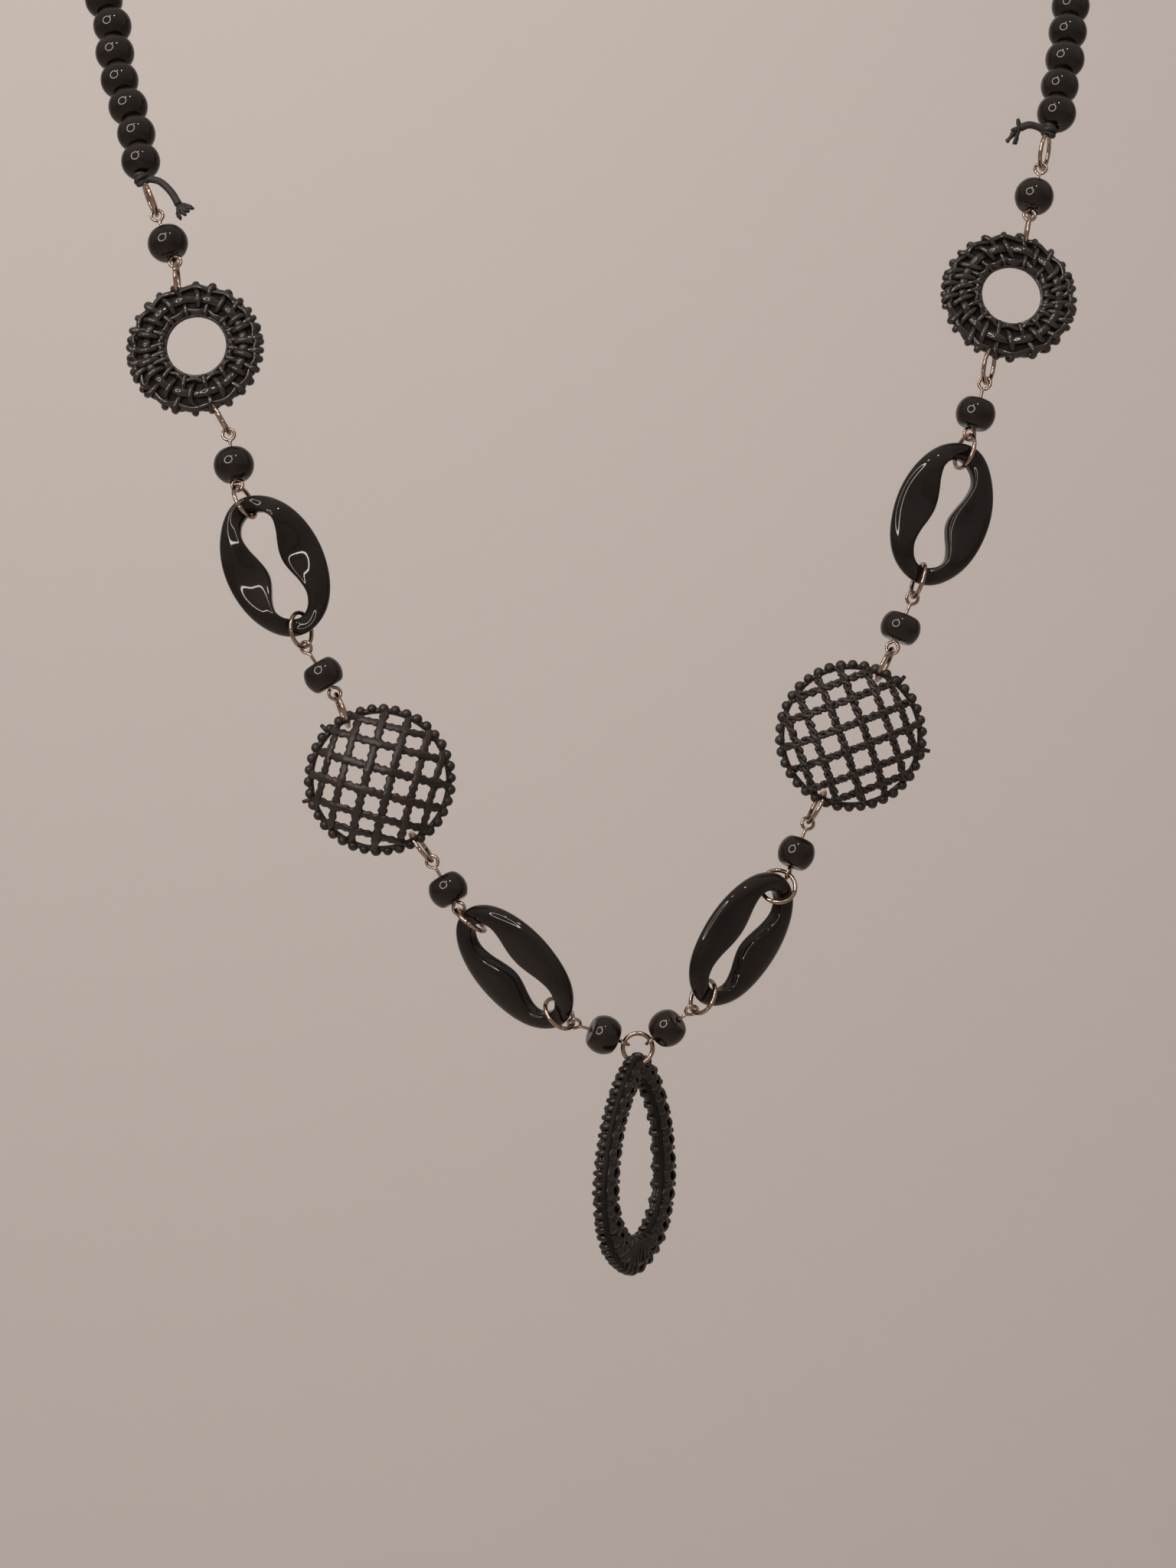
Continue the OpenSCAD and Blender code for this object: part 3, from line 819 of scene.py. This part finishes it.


# on each side a smooth cord covers the stakes along the edge that faces the viewer; it takes the
# core's darker material as painted shade
rows = [(0, -0.3, 0.5, 0.4), (35, -0.2, 0.55, 0.4), (58, None, 0.72, 0.42), (90, None, 0.8, 0.42),
        (122, None, 0.72, 0.42), (148, -0.2, 0.55, 0.4), (180, -0.3, 0.5, 0.4),
        (207, lambda v: 0.3 if v < 0.5 else -0.2, 0.62, 0.4), (236, None, 0.92, 0.42),
        (270, None, 1.06, 0.44), (304, None, 0.92, 0.42),
        (334, lambda v: 0.3 if v > 0.5 else -0.2, 0.62, 0.4)]
# at the bottom the stakes lie side by side over all the rows
band = Band(drop_at, drop_half, drop_thick, power=4.0,
            stakes=spread_stakes(DROP_STAKES, stray=0.12), rows=rows, slant=0.0,
            out=drop_out, mirror=False,
            hidden=lambda v, deg: 130 < deg < 220 or (v < 0.5 and 300 < deg < 350),
            floats=lambda v: max(0.0, min(1.0, 1.6 - abs((v % 1) - 0.5) / 0.07)))
s, c = Shape(), Shape()
band.weavers(s, amp=0.34, smooth=c)
band.stakes(s, radii=(0.72, 0.33, 0.62), over=0.02, under=-0.5, edge_lift=0.5,
            inner_lift=0.5, wander=0.1)
s.make("woven_drop", drop_mat, "drop", "drop_pendant")
# the core and the smooth edge cords take the core's darker material: painted shade in the gaps
# and along the edge
band.core(c)
c.make("woven_drop_core", painted_shade_core_mat, "drop")

# ---------------------------------------------------------------- lattice discs
DOME_R, TUBE_R = 16.3, 14.15
DOME_BACK = math.sqrt(DOME_R ** 2 - TUBE_R ** 2)
BARS = (-11.1, -7.3, -2.45, 2.45, 7.3, 11.1)  # how far from the middle the bars run
BAR_END = 14.3                                # and how far out they reach
BAR_STEP = 0.22                               # between the points along a bar
BAR_WAVE = 0.26                               # how far a bar goes over and under
CROSSING = 4.87                               # from one crossing to the next
RIM_R, RIM_BALLS, BALL_OUT = 14.1, 38, 14.5
DISC_TURN = 45
LOOSE_ENDS = (17, 76)                         # where a bar's end sticks out, in degrees


def on_dome(x, z, out):
    r = DOME_R + out
    y = DOME_BACK - math.sqrt(max(r * r - x * x - z * z, 0.0))
    return np.array([x, y, z])


def flat_bar(u, bi, way, over):
    """A single ply: how far aside and out it runs at u, and its half width."""
    return (0.06 * math.sin(u * 1.3 + bi), over,
            0.9 + 0.16 * math.sin(2 * PI * u / 1.62 + bi * 2 + way))


def twisted_bar(u, bi, ply, over):
    """One of two plies that go round each other."""
    tw = u * 1.75 + ply * PI + bi
    return 0.42 * math.sin(tw), over + 0.2 * math.cos(tw), 0.47


turn = rot("Y", DISC_TURN)
for side in "lr":
    p = places[f"{side}disc0"]
    twisted = side == "r"
    s = Shape()
    for way in (0, 1):
        for bi, c in enumerate(BARS):
            half = math.sqrt(BAR_END ** 2 - c * c)
            n = int(half * 2 / BAR_STEP)
            for ply in range(2 if twisted else 1):
                pts, wide, ups = [], [], []
                for q in range(n + 1):
                    u = -half + 2 * half * q / n
                    over = BAR_WAVE * math.cos(PI * u / CROSSING + PI / 2 + PI * bi + PI * way)
                    # the flat bars' edges are knobbly
                    aside, lift, width = (twisted_bar(u, bi, ply, over) if twisted
                                          else flat_bar(u, bi, way, over))
                    x, z = (c + aside, u) if way == 0 else (u, c + aside)
                    pts.append(on_dome(x, z, lift))
                    ups.append(pts[-1] - (0, DOME_BACK, 0))
                    wide.append(width)
                tube(s, p.out(np.array(pts) @ turn.T), wide, 0.42 if twisted else 0.5,
                     (np.array(ups) @ turn.T) @ p.m.T, sides=7 if twisted else 10)
            if twisted:
                # nodules along the bar, first one edge and then the other
                u, k = -half + 0.5, 0
                while u < half - 0.4:
                    off = 0.45 * (-1) ** k + rng.uniform(-0.06, 0.06)
                    x, z = (c + off, u) if way == 0 else (u, c + off)
                    spot = p.out([turn @ on_dome(x, z, 0.3 + rng.uniform(-0.1, 0.1))])[0]
                    ball(s, spot, rng.uniform(0.42, 0.52), 6, 8)
                    u += rng.uniform(0.75, 1.05)
                    k += 1
    tube(s, p.out(ring_path(RIM_R, 120)), 0.6 if twisted else 0.64, closed=True, sides=10)
    for k in range(RIM_BALLS):
        a = math.radians((k + 0.5) * 360 / RIM_BALLS)
        spot = p.out([(BALL_OUT * math.sin(a), 0, BALL_OUT * math.cos(a))])[0]
        ball(s, spot, rng.uniform(1.0, 1.12), 12, 18)
    for a in LOOSE_ENDS:
        ra = math.radians(a)
        d = np.array([math.sin(ra), 0, math.cos(ra)])
        tube(s, p.out([d * 14.2, d * 15.2, d * 16.4 + [0, 0.2, 0]]), (0.55, 0.5, 0.4))
    s.make(f"lattice_{side}", lattice_mat, "chain", f"lattice_disc_{side}")

# ---------------------------------------------------------------- knots
# the tail's points and the tips of its frayed threads, from the knot's middle
TAILS = {
    "l": ([(0.4, 0, 0.6), (3.4, -0.4, 0.1), (6.0, -0.9, -2.2), (7.6, -1.2, -4.8)],
          [(11.0, -1.9, -5.5), (10.4, -2.2, -6.4), (8.4, -1.6, -8.2), (7.5, -1.3, -7.5),
           (9.3, -2.0, -7.1)]),
    "r": ([(-0.4, 0, 0.2), (-2.2, -0.3, 1.3), (-4.2, -0.5, 1.7), (-5.9, -0.4, 1.1)],
          [(-9.0, -0.6, -2.0), (-7.2, -0.8, -2.5), (-6.6, -0.6, 3.0), (-8.2, -0.9, 0.4),
           (-8.4, -0.4, -0.9)]),
}
# the height and radius of each turn of the cord round the ring's wire and round itself
KNOT_TURNS = ((-0.15, 1.0), (0.65, 1.2), (1.35, 0.8))
for side in "lr":
    row = places[f"{side}ring0"].row
    up = heading(side, row[2], row[3])
    kc = ends[side] + 0.9 * up
    s = Shape()
    lean = frame_to(up)
    for k, (h, r) in enumerate(KNOT_TURNS):
        a = np.radians(np.arange(28) * 360 / 28)
        path = np.stack([r * np.cos(a), r * np.sin(a), h + 0.25 * np.sin(a + 2 * k)], axis=1)
        tube(s, path @ lean.T + kc, 0.6, closed=True, sides=10)
    root, tips = TAILS[side]
    path = np.array([catmull(root, t / 5) for t in range(5 * (len(root) - 1) + 1)]) + kc
    tube(s, path, np.interp(range(len(path)), [0, 8, 13, 15], [0.72, 0.76, 0.8, 0.86]), sides=12)
    tail_end = path[-1]
    for tip in tips:
        tip = np.array(tip) + kc
        for strand in range(3):
            sway = np.array([rng.uniform(-1, 1) for _ in range(3)])
            far = tail_end + (tip - tail_end) * rng.uniform(0.72, 1.0) + sway * 0.3
            mid = (tail_end + far) / 2 + sway[::-1] * 0.35
            near = tail_end - (tip - tail_end) * 0.12
            pts = [catmull([near, mid, far], t / 4) for t in range(9)]
            width = np.interp(range(9), [0, 5, 7, 8], [0.45, 0.34, 0.38, 0.24])
            tube(s, pts, width * rng.uniform(0.8, 1.15), sides=7)
    s.make(f"knot_{side}", cord_mat, "chain", f"cord_knot_{side}")

# ---------------------------------------------------------------- surroundings
# one sheet, the floor rising in a curve to the wall, far enough back for a view from behind
FLOOR_Z, WALL_Y, CURVE = -1.3, 1.75, 0.35
SHEET_END, WALL_TOP = 30, 5
wall_mat, _, _ = principled("backdrop", Base_Color=(0.588, 0.529, 0.493, 1), Roughness=0.9,
                            Specular_IOR_Level=0.1)
profile = [(-SHEET_END, FLOOR_Z)]
for k in range(17):
    a = PI / 2 * k / 16
    profile.append((WALL_Y - CURVE + CURVE * math.sin(a), FLOOR_Z + CURVE - CURVE * math.cos(a)))
profile.append((WALL_Y, WALL_TOP))
verts = [(x, y, z) for x in (-SHEET_END, SHEET_END) for y, z in profile]
n = len(profile)
mesh = bpy.data.meshes.new("backdrop")
mesh.from_pydata(verts, [], [(k, k + 1, n + k + 1, n + k) for k in range(n - 1)])
mesh.polygons.foreach_set("use_smooth", [True] * len(mesh.polygons))
mesh.materials.append(wall_mat)
wall = bpy.data.objects.new("backdrop", mesh)
scene.collection.objects.link(wall)

world = bpy.data.worlds.new("studio")
scene.world = world
world.use_nodes = True
tree = world.node_tree
background = tree.nodes["Background"]
background.inputs["Color"].default_value = (1.0, 0.975, 0.955, 1)
# the room grows lighter overhead
coord, split = tree.nodes.new("ShaderNodeTexCoord"), tree.nodes.new("ShaderNodeSeparateXYZ")
grade = tree.nodes.new("ShaderNodeMapRange")
grade.inputs["From Min"].default_value = -0.1
grade.inputs["From Max"].default_value = 0.75
grade.inputs["To Min"].default_value = 0.3
grade.inputs["To Max"].default_value = 0.42
tree.links.new(coord.outputs["Generated"], split.inputs["Vector"])
tree.links.new(split.outputs["Z"], grade.inputs["Value"])
tree.links.new(grade.outputs["Result"], background.inputs["Strength"])


def area_light(name, location, target, size, power, hollow=0.0):
    """A round lamp; hollow is the part of its width that stays dark in a ring lamp."""
    light = bpy.data.lights.new(name, "AREA")
    light.shape = "DISK"
    light.size = size
    light.energy = power
    light.color = (1, 0.98, 0.96)
    o = bpy.data.objects.new(name, light)
    scene.collection.objects.link(o)
    o.location = location
    o.rotation_euler = (target - location).to_track_quat("-Z", "Y").to_euler()
    o.visible_camera = False
    if hollow:
        light.use_nodes = True
        nt = light.node_tree
        where = nt.nodes.new("ShaderNodeNewGeometry")
        reach = nt.nodes.new("ShaderNodeVectorMath")
        reach.operation = "DISTANCE"
        reach.inputs[1].default_value = (0.5, 0.5, 0.0)
        rim = nt.nodes.new("ShaderNodeMath")
        rim.operation = "GREATER_THAN"
        rim.inputs[1].default_value = hollow / 2
        nt.links.new(where.outputs["Parametric"], reach.inputs[0])
        nt.links.new(reach.outputs["Value"], rim.inputs[0])
        nt.links.new(rim.outputs["Value"], nt.nodes["Emission"].inputs["Strength"])
    return o


focus = Vector((0.004, -0.19, -0.20))
# the ring lamp stands up and to the left in front of the necklace
KEY_WAY, KEY_FAR = Vector((-0.475, -0.777, 0.413)).normalized(), 1.1
area_light("key", focus + KEY_WAY * KEY_FAR, focus, size=0.86, power=42, hollow=0.89)
# a broad soft light washes the backdrop, most of all its upper left part
wash = area_light("wash", Vector((-0.75, -0.5, 1.6)), Vector((-0.35, WALL_Y, 0.15)),
                  size=1.2, power=37)
# and another one lights the floor in front
fill = area_light("fill", Vector((0, -5, 2.2)), Vector((0, -5.2, FLOOR_Z)), size=3, power=50)
wash.visible_glossy = fill.visible_glossy = False
# two small ones, high up, give the pieces their second, finer highlights
area_light("lamp_right", focus + Vector((0.2, -0.7, 0.96)), focus, size=0.07, power=1.0)
area_light("lamp_left", focus + Vector((-0.22, -0.72, 0.88)), focus, size=0.05, power=0.5)

# ---------------------------------------------------------------- camera
CAMERA_AT = Vector((3.9045, -790.0, -250.279))
CAMERA_ROLL = math.radians(1.0)
cam = bpy.data.cameras.new("camera")
cam.lens = 67.5
cam.sensor_width = 36
cam.clip_start = 0.02
cam.clip_end = 20
camera = bpy.data.objects.new("camera", cam)
scene.collection.objects.link(camera)
# it looks level along +y
right = Vector((math.cos(CAMERA_ROLL), 0, math.sin(CAMERA_ROLL)))
up_way = Vector((-math.sin(CAMERA_ROLL), 0, math.cos(CAMERA_ROLL)))
back = Vector((0, -1, 0))
mw = Matrix.Identity(4)
for r in range(3):
    mw[r][0], mw[r][1], mw[r][2] = right[r], up_way[r], back[r]
mw.translation = CAMERA_AT * MM
camera.matrix_world = mw
scene.camera = camera
scene.view_settings.view_transform = "Standard"
